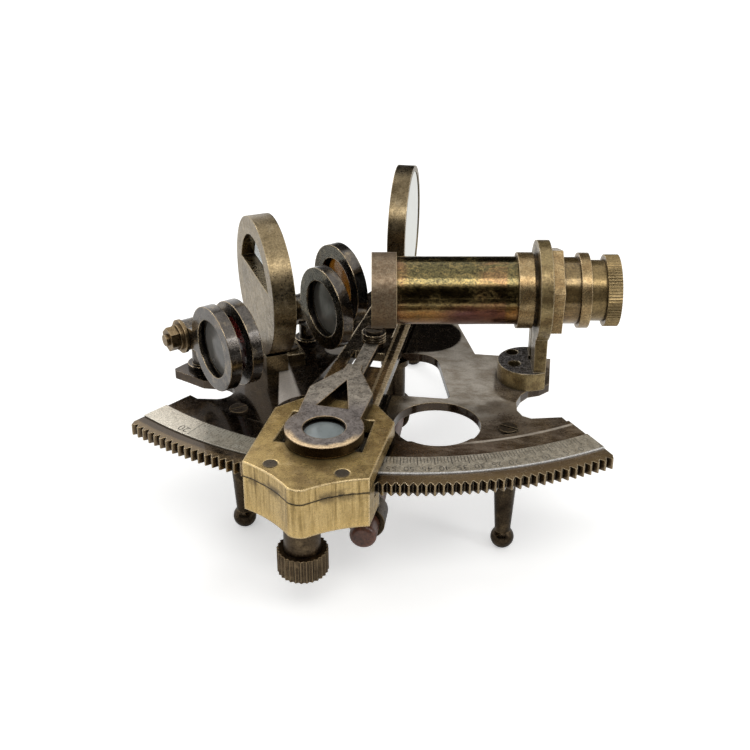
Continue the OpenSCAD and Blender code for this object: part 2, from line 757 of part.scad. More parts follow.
module shade_washers(p, dir) {
    out = shade_pitch / 2 + shade_t / 2 + 0.1;
    color([0.45, 0.37, 0.25]) at_post(p) translate([0, 0, shade_pivot_z]) mirror([dir < 0 ? 1 : 0, 0, 0])
        union() {
            ring_x(boss_r + 0.4, bolt_r + fit, out, out + 0.9);
            ring_x(boss_r - 0.6, bolt_r + fit, out + 0.9, out + 1.8);
        }
}

// One shade: a ring on a lever, side = 1 is the +X side of the post
module shade_lever(p, side, tilt) {
    h = shade_t / 2;
    color([0.24, 0.21, 0.18]) at_post(p) translate([side * shade_pitch / 2, 0, shade_pivot_z])
        rotate([tilt, 0, 0]) difference() {
            union() {
                disc_x(boss_r, -h, h);
                translate([-h, 0, -2.8]) cube([shade_t, shade_reach - shade_bore_r - 1, 5.6]);
                translate([0, shade_reach, 0]) disc_x(shade_r, -h, h);
            }
            disc_x(bolt_r + fit, -h - 1, h + 1);
            translate([0, shade_reach, 0]) disc_x(shade_bore_r, -h - 1, h + 1);
            translate([0, shade_reach, 0]) disc_x(glass_r + fit, -glass_t / 2 - fit, glass_t / 2 + fit);
        }
}

module shade_glass(p, side, tilt, tint) {
    color(tint) at_post(p) translate([side * shade_pitch / 2, 0, shade_pivot_z])
        rotate([tilt, 0, 0]) translate([0, shade_reach, 0]) disc_x(glass_r, -glass_t / 2, glass_t / 2);
}

module horizon_shade_post() {
    shade_post(horizon_post);
}

module horizon_shade_bolt() {
    shade_bolt(horizon_post, 1);
}

module horizon_shade_nut() {
    shade_nut(horizon_post, 1);
}

module horizon_shade_washers() {
    shade_washers(horizon_post, 1);
}

module horizon_shade_dark() {
    shade_lever(horizon_post, 1, horizon_tilt);
}

module horizon_shade_dark_glass() {
    shade_glass(horizon_post, 1, horizon_tilt, [0.25, 0.27, 0.28, 0.6]);
}

module horizon_shade_light() {
    shade_lever(horizon_post, -1, horizon_tilt);
}

module horizon_shade_light_glass() {
    shade_glass(horizon_post, -1, horizon_tilt, [0.6, 0.15, 0.12, 0.6]);
}

module index_shade_post() {
    shade_post(index_post);
}

module index_shade_bolt() {
    shade_bolt(index_post, -1);
}

module index_shade_nut() {
    shade_nut(index_post, -1);
}

module index_shade_washers() {
    shade_washers(index_post, -1);
}

module index_shade_dark() {
    shade_lever(index_post, 1, index_tilt);
}

module index_shade_dark_glass() {
    shade_glass(index_post, 1, index_tilt, [0.35, 0.38, 0.38, 0.6]);
}

module index_shade_light() {
    shade_lever(index_post, -1, index_tilt_light);
}

module index_shade_light_glass() {
    shade_glass(index_post, -1, index_tilt_light, [0.85, 0.5, 0.1, 0.6]);
}

// Holes in the bracket's foot
function bracket_hole_places() = [for (i = [0 : 2]) [-4.1, 1.5] + polar(3.6, i * 120)];

// Foot, upright and ring that carry the telescope
module telescope_bracket() {
    foot_r = 7.6;
    foot_h = 4.8;
    t = bracket_t;
    color([0.55, 0.44, 0.25]) on_bracket() difference() {
        union() {
            translate([0, 0, -web_drop]) linear_extrude(foot_h) intersection() {
                translate([-2.4, 0]) circle(r = foot_r, $fn = smooth);
                translate([t / 2 - 20, -foot_r]) square([20, 2 * foot_r]);
            }
            translate([-t / 2, -6.5, -web_drop]) cube([t, 13, tele_z]);
            translate([0, 0, tele_z]) disc_x(bracket_ring_r, -t / 2, t / 2);
        }
        translate([0, 0, tele_z]) disc_x(barrel_r + fit, -t, t);
        for (p = bracket_hole_places()) translate([p[0], p[1], -5]) {
            cylinder(r = 1.05 + fit, h = 20, $fn = 48);
            translate([0, 0, 5 + foot_h - web_drop - 2]) cylinder(r = 1.55, h = 5, $fn = 48);
        }
    }
}

module bracket_screws() {
    color([0.1, 0.09, 0.08]) on_bracket()
        for (p = bracket_hole_places()) translate([p[0], p[1], 2.3])
            slot_screw(1.5, 0.7, 1.05, 2.3 + web_drop);
}

// Main tube, thinner behind the bracket
module telescope_tube() {
    color([0.5, 0.38, 0.16]) {
        tele_ring(barrel_r, bore_r, -tele_front + 1, 0.5);
        tele_ring(barrel_r - 0.15, bore_r, 0.4, barrel_end);
    }
}

module objective_cell() {
    color([0.42, 0.34, 0.2]) on_bracket() translate([0, 0, tele_z]) difference() {
        disc_x(collar_r, -tele_front, -tele_front + 6.2);
        disc_x(barrel_r + fit, -tele_front + 1, 0);
        disc_x(bore_r - 0.8, -tele_front - 1, 0);
    }
}

module objective_lens() {
    color([0.75, 0.82, 0.85, 0.5]) on_bracket() translate([0, 0, tele_z])
        disc_x(bore_r - fit, -tele_front + 1, -tele_front + 3);
}

module rear_collar() {
    color([0.5, 0.42, 0.26]) union() {
        tele_ring(collar_r, barrel_r + fit, -6.4, -2.5);
        tele_ring(collar_r - 0.4, barrel_r + fit, -2.6, -bracket_t / 2);
    }
}

// Six-sided nut behind the bracket
module lock_nut() {
    color([0.55, 0.46, 0.28]) on_bracket() translate([0, 0, tele_z]) difference() {
        translate([bracket_t / 2, 0, 0]) rotate([0, 90, 0]) rotate([0, 0, 10])
            cylinder(r = nut_r, h = nut_t, $fn = 6);
        disc_x(barrel_r + fit, 0, 10);
    }
}

module tube_end_ring() {
    color([0.45, 0.37, 0.22]) tele_ring(barrel_r + 0.9, bore_r, barrel_end, barrel_end + 2.5);
}

module draw_tube() {
    color([0.52, 0.43, 0.22]) tele_ring(draw_r, draw_r - 0.8, -12, draw_end);
}

// Knurled cap at the eye end
module eyepiece_cap() {
    ribs = 72;
    color([0.5, 0.42, 0.24]) on_bracket() translate([draw_end, 0, tele_z]) rotate([0, 90, 0])
        difference() {
            linear_extrude(cap_len) polygon([for (i = [0 : 2 * ribs - 1])
                polar(cap_r - (i % 2) * 0.22, i * 180 / ribs)]);
            translate([0, 0, -1]) cylinder(r = 3.6, h = cap_len + 2, $fn = smooth);
            translate([0, 0, -1]) cylinder(r = 5 + fit, h = 2, $fn = smooth);
        }
}

module eye_lens() {
    color([0.75, 0.82, 0.85, 0.5]) on_bracket() translate([0, 0, tele_z])
        disc_x(5, draw_end - 0.8, draw_end + 1);
}

frame_plate();
scale_arc();
leg_left();
leg_right();
leg_rear();
leg_screws();
handle();
handle_post_front();
handle_post_rear();
index_arm();
pivot_stud();
pivot_nut();
arm_cover();
cover_rivets();
drive_housing();
vernier_plate();
pinion_shaft();
drive_knob();
magnifier_arm();
reading_lens();
lens_ring();
magnifier_washers();
magnifier_screw();
index_mirror_foot();
index_mirror_frame();
index_mirror();
horizon_mirror_foot();
horizon_mirror_frame();
horizon_mirror();
horizon_clear_glass();
horizon_foot_screw();
horizon_shade_post();
horizon_shade_bolt();
horizon_shade_nut();
horizon_shade_washers();
horizon_shade_dark();
horizon_shade_dark_glass();
horizon_shade_light();
horizon_shade_light_glass();
index_shade_post();
index_shade_bolt();
index_shade_nut();
index_shade_washers();
index_shade_dark();
index_shade_dark_glass();
index_shade_light();
index_shade_light_glass();
telescope_bracket();
bracket_screws();
telescope_tube();
objective_cell();
objective_lens();
rear_collar();
lock_nut();
tube_end_ring();
draw_tube();
eyepiece_cap();
eye_lens();
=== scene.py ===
import json
import math

import bpy
import bmesh
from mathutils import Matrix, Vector


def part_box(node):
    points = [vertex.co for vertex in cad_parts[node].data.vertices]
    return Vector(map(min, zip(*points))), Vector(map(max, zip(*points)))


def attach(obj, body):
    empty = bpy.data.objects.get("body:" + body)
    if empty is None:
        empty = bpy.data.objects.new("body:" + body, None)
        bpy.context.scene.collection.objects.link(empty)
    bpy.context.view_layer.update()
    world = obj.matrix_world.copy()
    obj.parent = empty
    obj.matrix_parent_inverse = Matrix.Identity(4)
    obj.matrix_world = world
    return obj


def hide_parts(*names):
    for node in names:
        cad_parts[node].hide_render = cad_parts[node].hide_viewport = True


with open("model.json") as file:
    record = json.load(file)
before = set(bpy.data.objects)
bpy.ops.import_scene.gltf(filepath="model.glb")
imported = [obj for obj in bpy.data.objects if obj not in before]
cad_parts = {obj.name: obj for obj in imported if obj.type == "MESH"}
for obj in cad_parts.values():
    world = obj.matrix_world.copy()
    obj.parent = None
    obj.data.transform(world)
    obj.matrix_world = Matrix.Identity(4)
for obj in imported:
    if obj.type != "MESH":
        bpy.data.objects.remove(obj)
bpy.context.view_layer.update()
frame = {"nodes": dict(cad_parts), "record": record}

scene = bpy.context.scene
MM = 0.001

# Index axis at x = 0 and y = AXIS_Y, top of the limb at z = LIMB_Z
AXIS_Y = -0.022
LIMB_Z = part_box("scale_arc")[0][2]
LIMB_TOP = LIMB_Z / MM
# Turn of the index arm at rest and of the telescope about Z
ARM_REST = math.radians(-5.7)
TELE_TURN = math.radians(7.9)
# Direction of the axis that the shades swing on, about Z
SHADE_TURN = math.radians(220.6)

# From here to the materials all sizes are in mm, and places are x and y in the object's frame
# Middle of the telescope's bracket, and the round foot of the bracket
TELE_PLACE = (38.9, -65.7)
FOOT_PLACE = (36.5, -65.7)
FOOT_R = 7.6
# Back end of the objective cell, measured along the telescope from its bracket
CELL_END = -34.0
# Painted light on the web: a black round patch of painted shade beside the arm, and a pale spot and two
# sides of a pale wedge, both painted reflections
SHADE_PATCH_PLACE = (8.0, -46.0)
SHADE_PATCH_R = 10.1
REFLECTION_SPOT_PLACE = (-14.5, -57.5)
REFLECTION_SPOT_R = 3.2
REFLECTION_WEDGE_LEFT = ((-29.2, -63.1), (-25.9, -80.0))
REFLECTION_WEDGE_RIGHT = ((-18.5, -85.8), (-27.3, -62.8))
# Radii from the index axis: painted highlight on the crease, inner edge of the scale, roots of the teeth
CREASE_HIGHLIGHT_R = 82.75
SCALE_IN = 88.5
ROOT_R = 97.6
# Half the arm's width at the index axis, and how much it grows for each mm along the arm
ARM_HALF = 5.8
ARM_GROWS = 2.8 / 72.3
# Heights above the limb: top of the silvered scale; underside of the box's cover and top of the vernier
SCALE_TOP = 0.35
COVER_Z = 1.3
# Turn of the wear marks along the telescope
TUBE_MARKS = 0.13


# Materials

class Shade:
    """One Principled material built from small node helpers, positions in mm."""

    def __init__(self, name):
        self.mat = bpy.data.materials.new(name)
        self.mat.use_nodes = True
        self.nt = self.mat.node_tree
        self.nt.nodes.clear()
        out = self.node("ShaderNodeOutputMaterial")
        self.bsdf = self.node("ShaderNodeBsdfPrincipled")
        self.link(self.bsdf.outputs[0], out.inputs["Surface"])
        place = self.node("ShaderNodeTexCoord")
        self.co = self.scaled(place.outputs["Object"], 1.0 / MM)

    def node(self, kind, **props):
        n = self.nt.nodes.new(kind)
        for k, v in props.items():
            setattr(n, k, v)
        return n

    def link(self, a, b):
        self.nt.links.new(a, b)

    def put(self, value, socket):
        """Links a socket, or sets a constant straight on the input."""
        if isinstance(value, bpy.types.NodeSocket):
            self.link(value, socket)
        elif isinstance(value, (tuple, list)) and len(value) == 3 and socket.type == "RGBA":
            socket.default_value = (*value, 1.0)
        else:
            socket.default_value = value

    def give(self, name, value):
        """Gives one input of the Principled shader its value."""
        self.put(value, self.bsdf.inputs[name])

    def math(self, op, a, b=0.0, c=0.0):
        n = self.node("ShaderNodeMath", operation=op)
        for i, v in enumerate((a, b, c)):
            self.put(v, n.inputs[i])
        return n.outputs[0]

    def times(self, *values):
        out = values[0]
        for value in values[1:]:
            out = self.math("MULTIPLY", out, value)
        return out

    def plus(self, a, b):
        return self.math("ADD", a, b)

    def less(self, a, b):
        return self.math("SUBTRACT", a, b)

    def most(self, a, b):
        return self.math("MAXIMUM", a, b)

    def mix(self, fac, a, b):
        n = self.node("ShaderNodeMix", data_type="RGBA")
        self.put(fac, n.inputs[0])
        self.put(a, n.inputs[6])
        self.put(b, n.inputs[7])
        return n.outputs[2]

    def scaled(self, vector, amount):
        n = self.node("ShaderNodeVectorMath", operation="SCALE")
        self.link(vector, n.inputs[0])
        self.put(amount, n.inputs["Scale"])
        return n.outputs[0]

    def step(self, value, lo, hi, a=0.0, b=1.0):
        """Soft step from a at lo to b at hi; lo may be the larger one."""
        n = self.node("ShaderNodeMapRange", interpolation_type="SMOOTHSTEP")
        self.put(value, n.inputs[0])
        for i, v in zip((1, 2, 3, 4), (lo, hi, a, b)):
            n.inputs[i].default_value = v
        return n.outputs[0]

    def band(self, value, rise, full, fall, end):
        """0 outside rise and end, 1 between full and fall."""
        return self.times(self.step(value, rise, full), self.step(value, end, fall))

    def coords(self, turn=0.0, stretch=(1, 1, 1), shift=(0, 0, 0)):
        m = self.node("ShaderNodeMapping")
        m.inputs["Rotation"].default_value = (0, 0, turn)
        m.inputs["Scale"].default_value = stretch
        m.inputs["Location"].default_value = shift
        self.link(self.co, m.inputs[0])
        return m.outputs[0]

    def noise(self, size, detail=3.0, rough=0.55, co=None, distort=0.0):
        n = self.node("ShaderNodeTexNoise")
        n.inputs["Scale"].default_value = 1.0 / size
        n.inputs["Detail"].default_value = detail
        n.inputs["Roughness"].default_value = rough
        n.inputs["Distortion"].default_value = distort
        self.link(co or self.co, n.inputs["Vector"])
        return n.outputs["Fac"]

    def xyz(self):
        n = self.node("ShaderNodeSeparateXYZ")
        self.link(self.co, n.inputs[0])
        return n.outputs[0], n.outputs[1], n.outputs[2]

    def normal_z(self):
        g = self.node("ShaderNodeNewGeometry")
        n = self.node("ShaderNodeSeparateXYZ")
        self.link(g.outputs["Normal"], n.inputs[0])
        return n.outputs[2]

    def length(self, x, y):
        return self.math("SQRT", self.plus(self.times(x, x), self.times(y, y)))

    def distance(self, x, y, place):
        return self.length(self.less(x, place[0]), self.less(y, place[1]))

    def edges(self, radius):
        """1 on worn edges, 0 on flats; also rounds the shading there."""
        bev = self.node("ShaderNodeBevel", samples=6)
        bev.inputs["Radius"].default_value = radius * MM
        g = self.node("ShaderNodeNewGeometry")
        dot = self.node("ShaderNodeVectorMath", operation="DOT_PRODUCT")
        self.link(bev.outputs[0], dot.inputs[0])
        self.link(g.outputs["Normal"], dot.inputs[1])
        return self.step(dot.outputs["Value"], 0.998, 0.93), bev.outputs[0]

    def dirt(self, distance):
        """1 in corners, 0 in the open."""
        ao = self.node("ShaderNodeAmbientOcclusion", samples=6)
        ao.inputs["Distance"].default_value = distance * MM
        return self.step(ao.outputs["AO"], 0.9, 0.35)

    def bump(self, height, depth, normal=None):
        b = self.node("ShaderNodeBump")
        b.inputs["Strength"].default_value = 1.0
        b.inputs["Distance"].default_value = depth * MM
        self.link(height, b.inputs["Height"])
        if normal:
            self.link(normal, b.inputs["Normal"])
        return b.outputs[0]


def metal(name, main, dark, worn, rough=(0.28, 0.5), stain=(7, 0.5), speck=0.5, brush=None,
          edge=(0.35, 0.9), dirt=(2.0, 0.8), pits=0.012, coat=None, extra=None, metallic=1.0, grain=0.28):
    """Aged metal: main colour, tarnish in blotches, grime and painted shade in corners and next to other
    parts, bright worn edges, fine wear marks.

    stain, edge and occlusion each hold a size in mm and an amount, brush a turn, a stretch and an amount,
    coat a weight, a roughness and an IOR. extra(s, colour) paints what only this material has. It
    returns the colour and, where it wants them, rough (added to the roughness), matte (less metallic),
    worn (colour of the edges) and keep (where the edges may be worn).
    """
    s = Shade(name)
    small = s.noise(0.55, 3, 0.6)
    mid = s.noise(1.9, 4, 0.65, s.coords(shift=(13, 5, 2)))
    big = s.noise(stain[0], 4, 0.6, distort=0.6)
    blotches = s.times(s.step(big, 0.62 - 0.24 * stain[1], 0.72), stain[1])
    spots = s.times(s.step(mid, 0.55, 0.7), speck)
    colour = s.mix(s.most(blotches, spots), main, dark)
    light = s.step(s.noise(3.4, 3, 0.6, s.coords(shift=(3, 41, 8))), 0.5, 0.75)
    colour = s.mix(s.times(light, 0.35), colour, worn)
    more = extra(s, colour) if extra else {}
    colour = more.get("colour", colour)
    rough_value = s.step(s.plus(s.times(small, 0.5), s.times(mid, 0.5)), 0.35, 0.65, rough[0], rough[1])
    if "rough" in more:
        rough_value = s.plus(rough_value, more["rough"])
    height = small
    if brush:
        turn, stretch, amount = brush
        lines = s.noise(0.32, 3, 0.7, s.coords(turn, stretch))
        colour = s.mix(s.times(s.step(lines, 0.5, 0.75), amount), colour, dark)
        height = s.plus(s.times(small, 0.5), lines)
    grit = s.step(s.noise(0.42, 2, 0.7, s.coords(shift=(5, 8, 3))), 0.3, 0.7, 1.0 - grain, 1.0 + grain)
    colour = s.scaled(colour, grit)
    worn_edge, rounded = s.edges(edge[0])
    wear = s.times(worn_edge, s.step(mid, 0.30, 0.50, 0.25, 1.0), edge[1])
    if "keep" in more:
        wear = s.times(wear, more["keep"])
    colour = s.mix(wear, colour, more.get("worn", worn))
    # Grime and painted shade: darker where ambient occlusion finds corners and nearby parts
    grime_and_shade = s.times(s.dirt(dirt[0]), dirt[1])
    s.give("Base Color", s.mix(grime_and_shade, colour, tuple(0.35 * c for c in dark)))
    s.give("Roughness", s.plus(rough_value, s.times(grime_and_shade, 0.2)))
    s.give("Normal", s.bump(height, pits, rounded))
    if "matte" in more:
        metallic = s.math("MULTIPLY_ADD", more["matte"], -metallic, metallic)
    s.give("Metallic", metallic)
    if coat:
        s.give("Coat Weight", coat[0])
        s.give("Coat Roughness", coat[1])
        s.give("Coat IOR", coat[2])
        s.give("Coat Normal", s.bump(s.noise(2.6, 2, 0.5), 0.012, rounded))
    return s.mat


def glass(name, tint, rough, haze=0.0):
    """Clear or tinted glass with faint smears."""
    s = Shade(name)
    smear = s.noise(3.0, 3, 0.6, s.coords(0.5, (1, 0.35, 0.35)))
    s.give("Base Color", s.mix(s.step(smear, 0.45, 0.7), tint, tuple(c * 0.82 for c in tint)))
    s.give("Roughness", s.step(smear, 0.4, 0.75, rough, rough + 0.06 + haze))
    s.give("IOR", 1.5)
    s.give("Transmission Weight", 1.0)
    return s.mat


def milky(name, tint, clear, rough):
    """Old glass with a bloom on it: part clear, part milky, with darker smears."""
    s = Shade(name)
    smear = s.noise(2.4, 3, 0.6, s.coords(0.5, (1, 0.5, 0.5)))
    s.give("Base Color", s.mix(s.step(smear, 0.4, 0.7), tint, tuple(c * 0.7 for c in tint)))
    s.give("Roughness", s.step(smear, 0.4, 0.75, rough, rough + 0.12))
    s.give("IOR", 1.5)
    s.give("Transmission Weight", clear)
    return s.mat


def wood(name):
    """Dark rosewood with its grain along Y and a thin polish."""
    s = Shade(name)
    grain = s.noise(0.9, 5, 0.65, s.coords(0.0, (1.0, 0.12, 1.0)), distort=0.8)
    pores = s.noise(0.25, 3, 0.6, s.coords(0.0, (1.0, 0.06, 1.0)))
    colour = s.mix(s.step(grain, 0.35, 0.68), (0.13, 0.048, 0.026), (0.05, 0.02, 0.012))
    s.give("Base Color", s.mix(s.times(s.step(pores, 0.58, 0.7), 0.7), colour, (0.03, 0.014, 0.01)))
    s.give("Roughness", s.step(grain, 0.3, 0.7, 0.28, 0.42))
    s.give("Normal", s.bump(pores, 0.02))
    s.give("Coat Weight", 0.15)
    s.give("Coat Roughness", 0.2)
    return s.mat


def radius_of(s):
    """Distance from the index axis in mm, and the angle round it in degrees, 0 along -Y."""
    x, y, _ = s.xyz()
    y = s.less(y, AXIS_Y / MM)
    a = s.times(s.math("ARCTAN2", x, s.times(y, -1.0)), math.degrees(1.0))
    return s.length(x, y), a


def beside(s, x, y, p, q):
    """Distance in mm from the line through p and q, positive on its left."""
    length = math.hypot(q[0] - p[0], q[1] - p[1])
    nx, ny = -(q[1] - p[1]) / length, (q[0] - p[0]) / length
    return s.math("MULTIPLY_ADD", x, nx, s.math("MULTIPLY_ADD", y, ny, -(p[0] * nx + p[1] * ny)))


def along_tube(s):
    """Distance in mm along the telescope from its bracket, positive towards the eye."""
    x, y, _ = s.xyz()
    return s.plus(s.times(s.less(x, TELE_PLACE[0]), math.cos(TELE_TURN)),
                  s.times(s.less(y, TELE_PLACE[1]), math.sin(TELE_TURN)))


def arm_colour(s, colour):
    """Black arm, brown brass by the box, with its right edge rubbed bright and painted as a highlight, and a
    thin painted highlight line inside it.
    """
    x, y, _ = s.xyz()
    y = s.less(y, AXIS_Y / MM)
    c, k = math.cos(ARM_REST), math.sin(ARM_REST)
    across = s.math("MULTIPLY_ADD", x, c, s.times(y, k))
    along = s.math("MULTIPLY_ADD", x, k, s.times(y, -c))
    up = s.step(s.normal_z(), 0.6, 0.9)
    patina = s.noise(2.0, 4, 0.65, s.coords(ARM_REST, (1.0, 0.3, 1.0), (3, 1, 2)))
    near_box = s.times(s.step(along, 46.0, 52.0), up)
    brown = s.mix(s.step(patina, 0.36, 0.62), (0.26, 0.155, 0.06), (0.09, 0.05, 0.02))
    colour = s.mix(s.times(near_box, 0.9), colour, brown)
    # Wear and painted highlight: bright along the right edge only, with a thin line just inside it
    inset = s.less(s.math("MULTIPLY_ADD", along, ARM_GROWS, ARM_HALF), across)
    edge = s.times(s.step(inset, 1.5, 1.0), s.step(patina, 0.3, 0.5, 0.5, 1.0))
    line = s.times(s.band(inset, 2.4, 2.6, 3.1, 3.3), 0.7)
    edge_wear_and_highlight = s.times(s.step(along, 14.0, 22.0), up, s.most(edge, line))
    return {"colour": s.mix(edge_wear_and_highlight, colour, (0.56, 0.43, 0.26)),
            "matte": s.most(s.times(near_box, 0.35), s.times(edge_wear_and_highlight, 0.5))}


def limb_colour(s, colour):
    """Black lacquer: grey on the web's right half, partly rubbed wear and partly painted reflection, brown
    along the limb, gold on the teeth. The web also gets a round patch of painted shade, pale painted
    reflections and a painted highlight along a crease.
    """
    r, a = radius_of(s)
    x, y, _ = s.xyz()
    up = s.step(s.normal_z(), 0.6, 0.9)
    haze = s.noise(8.0, 4, 0.6, s.coords(shift=(4, 9, 1)))
    fog = s.noise(3.5, 5, 0.65, s.coords(0.6, (0.6, 1.0, 1.0), (7, 1, 1)))
    streaks = s.noise(2.6, 5, 0.7, s.coords(0.5, (0.4, 1.0, 1.0), (3, 3, 3)))
    # Painted shade: the black round patch beside the arm is kept clear of the brown and grey below
    off_shade_patch = s.step(s.distance(x, y, SHADE_PATCH_PLACE), SHADE_PATCH_R - 0.5, SHADE_PATCH_R + 0.5)

    # Streaky brown on the right half
    brown = s.times(s.step(x, 4.0, 18.0), up, off_shade_patch)
    streaky = s.mix(s.step(streaks, 0.35, 0.68), (0.075, 0.050, 0.030), (0.24, 0.19, 0.14))
    colour = s.mix(s.times(brown, 0.9), colour, streaky)

    # Grey over it on the web, partly rubbed wear and partly painted reflection, apart from the glossy
    # lacquer in front of the bracket's foot
    rubbed = s.times(s.step(s.plus(x, s.times(haze, 6.0)), 7.0, 13.0), off_shade_patch, up)
    rubbed = s.times(rubbed, s.step(s.plus(r, s.times(haze, 22.0)), 88.0, 74.0))
    rubbed = s.times(rubbed, s.step(haze, 0.2, 0.5, 0.72, 1.0))
    nearest = s.math("MINIMUM", s.most(y, FOOT_PLACE[1] - 6.5), FOOT_PLACE[1])
    off_foot = s.length(s.less(x, FOOT_PLACE[0]), s.less(y, nearest))
    rubbed = s.times(rubbed, s.step(off_foot, FOOT_R - 0.2, FOOT_R + 0.8, 0.12, 1.0))
    warm = s.step(s.plus(x, s.times(fog, 14.0)), 30.0, 46.0)
    grey = s.mix(warm, (0.52, 0.47, 0.40), (0.30, 0.235, 0.165))
    colour = s.mix(rubbed, colour, s.mix(s.step(fog, 0.36, 0.66), grey, (0.30, 0.25, 0.19)))

    # Painted reflections: a pale wedge and spot on the left half
    reflection_wedge = s.times(s.step(beside(s, x, y, *REFLECTION_WEDGE_LEFT), -0.2, 0.3),
                    s.step(beside(s, x, y, *REFLECTION_WEDGE_RIGHT), -0.3, 0.8), s.step(y, -62.0, -65.0))
    reflection_spot = s.step(s.distance(x, y, REFLECTION_SPOT_PLACE), REFLECTION_SPOT_R + 0.4, REFLECTION_SPOT_R - 0.4)
    pale = s.times(s.most(reflection_wedge, reflection_spot), up)
    colour = s.mix(s.times(pale, 0.95), colour, (0.54, 0.49, 0.435))
    # From here rubbed also carries the painted reflections and, below, the painted highlight
    rubbed = s.most(rubbed, pale)

    # Painted highlight: a thin bright line along the crease between the web and the limb, on the right
    on_crease_highlight = s.band(r, CREASE_HIGHLIGHT_R - 0.55, CREASE_HIGHLIGHT_R - 0.25, CREASE_HIGHLIGHT_R + 0.25, CREASE_HIGHLIGHT_R + 0.55)
    crease_highlight = s.times(on_crease_highlight, s.step(a, 10.0, 22.0), up)
    colour = s.mix(s.times(crease_highlight, s.step(fog, 0.3, 0.55, 0.5, 0.9)), colour, (0.56, 0.50, 0.42))
    rubbed = s.most(rubbed, s.times(crease_highlight, 0.8))

    # Brown line in front of the scale, then the teeth with dark roots
    front_line = s.band(r, ROOT_R - 2.4, ROOT_R - 1.8, ROOT_R - 0.2, ROOT_R + 0.4)
    front_line = s.times(front_line, s.step(a, -25.0, -5.0, 0.2, 0.75))
    colour = s.mix(front_line, colour, (0.16, 0.11, 0.06))
    teeth = s.step(r, ROOT_R - 0.4, ROOT_R + 0.4)
    colour = s.mix(s.times(teeth, 0.85), colour, (0.19, 0.13, 0.065))
    roots = s.times(teeth, s.step(s.normal_z(), 0.5, 0.2), s.step(r, ROOT_R + 2.2, ROOT_R + 1.3, 0.1, 0.8))
    colour = s.mix(roots, colour, (0.07, 0.042, 0.02))
    rim = s.mix(s.step(x, 4.0, 12.0), (0.15, 0.105, 0.06), (0.42, 0.32, 0.19))
    return {"colour": colour, "rough": s.times(rubbed, 0.25),
            "matte": s.most(s.times(rubbed, 0.8), s.times(brown, 0.55)),
            "worn": s.mix(teeth, rim, (0.52, 0.40, 0.23))}


def box_colour(s, colour):
    """Dark seam under the cover, painted as a shadow line under its edge, grime beside it, streaks that run
    down, smudges on top.
    """
    _, _, z = s.xyz()
    seam_z = LIMB_TOP + COVER_Z
    side = s.step(s.math("ABSOLUTE", s.normal_z()), 0.6, 0.3)
    wave = s.noise(4.0, 3, 0.6, s.coords(shift=(7, 3, 0)))
    drip = s.noise(0.8, 4, 0.7, s.coords(0.0, (1.0, 1.0, 0.06)))
    line = s.plus(seam_z - 0.35, s.times(wave, 0.7))
    off = s.math("ABSOLUTE", s.less(z, line))
    brushed = s.mix(s.step(drip, 0.35, 0.62), (0.66, 0.48, 0.215), (0.36, 0.245, 0.09))
    colour = s.mix(s.times(side, 0.75), colour, brushed)
    low = s.step(s.plus(z, s.times(wave, 4.0)), seam_z - 3.0, seam_z - 7.0)
    colour = s.mix(s.times(low, side, 0.5), colour, (0.72, 0.50, 0.19))
    grime = s.times(s.step(off, 2.4, 0.2), s.step(wave, 0.42, 0.62), side, 0.8)
    colour = s.mix(grime, colour, (0.10, 0.07, 0.035))
    streak = s.times(s.step(drip, 0.56, 0.72), s.step(s.less(line, z), 9.0, 1.5), side, 0.8)
    colour = s.mix(streak, colour, (0.07, 0.045, 0.018))
    # Painted shadow: a near-black line along the seam under the cover
    colour = s.mix(s.times(s.step(off, 0.24, 0.1), side, 0.95), colour, (0.012, 0.008, 0.004))
    smudge = s.step(s.noise(6.5, 5, 0.62, s.coords(shift=(2, 6, 4))), 0.44, 0.64)
    smudge = s.times(smudge, s.step(side, 1.0, 0.0), 0.6)
    return {"colour": s.mix(smudge, colour, (0.20, 0.125, 0.05)),
            "keep": s.step(s.math("ABSOLUTE", s.less(z, seam_z)), 0.45, 0.8)}


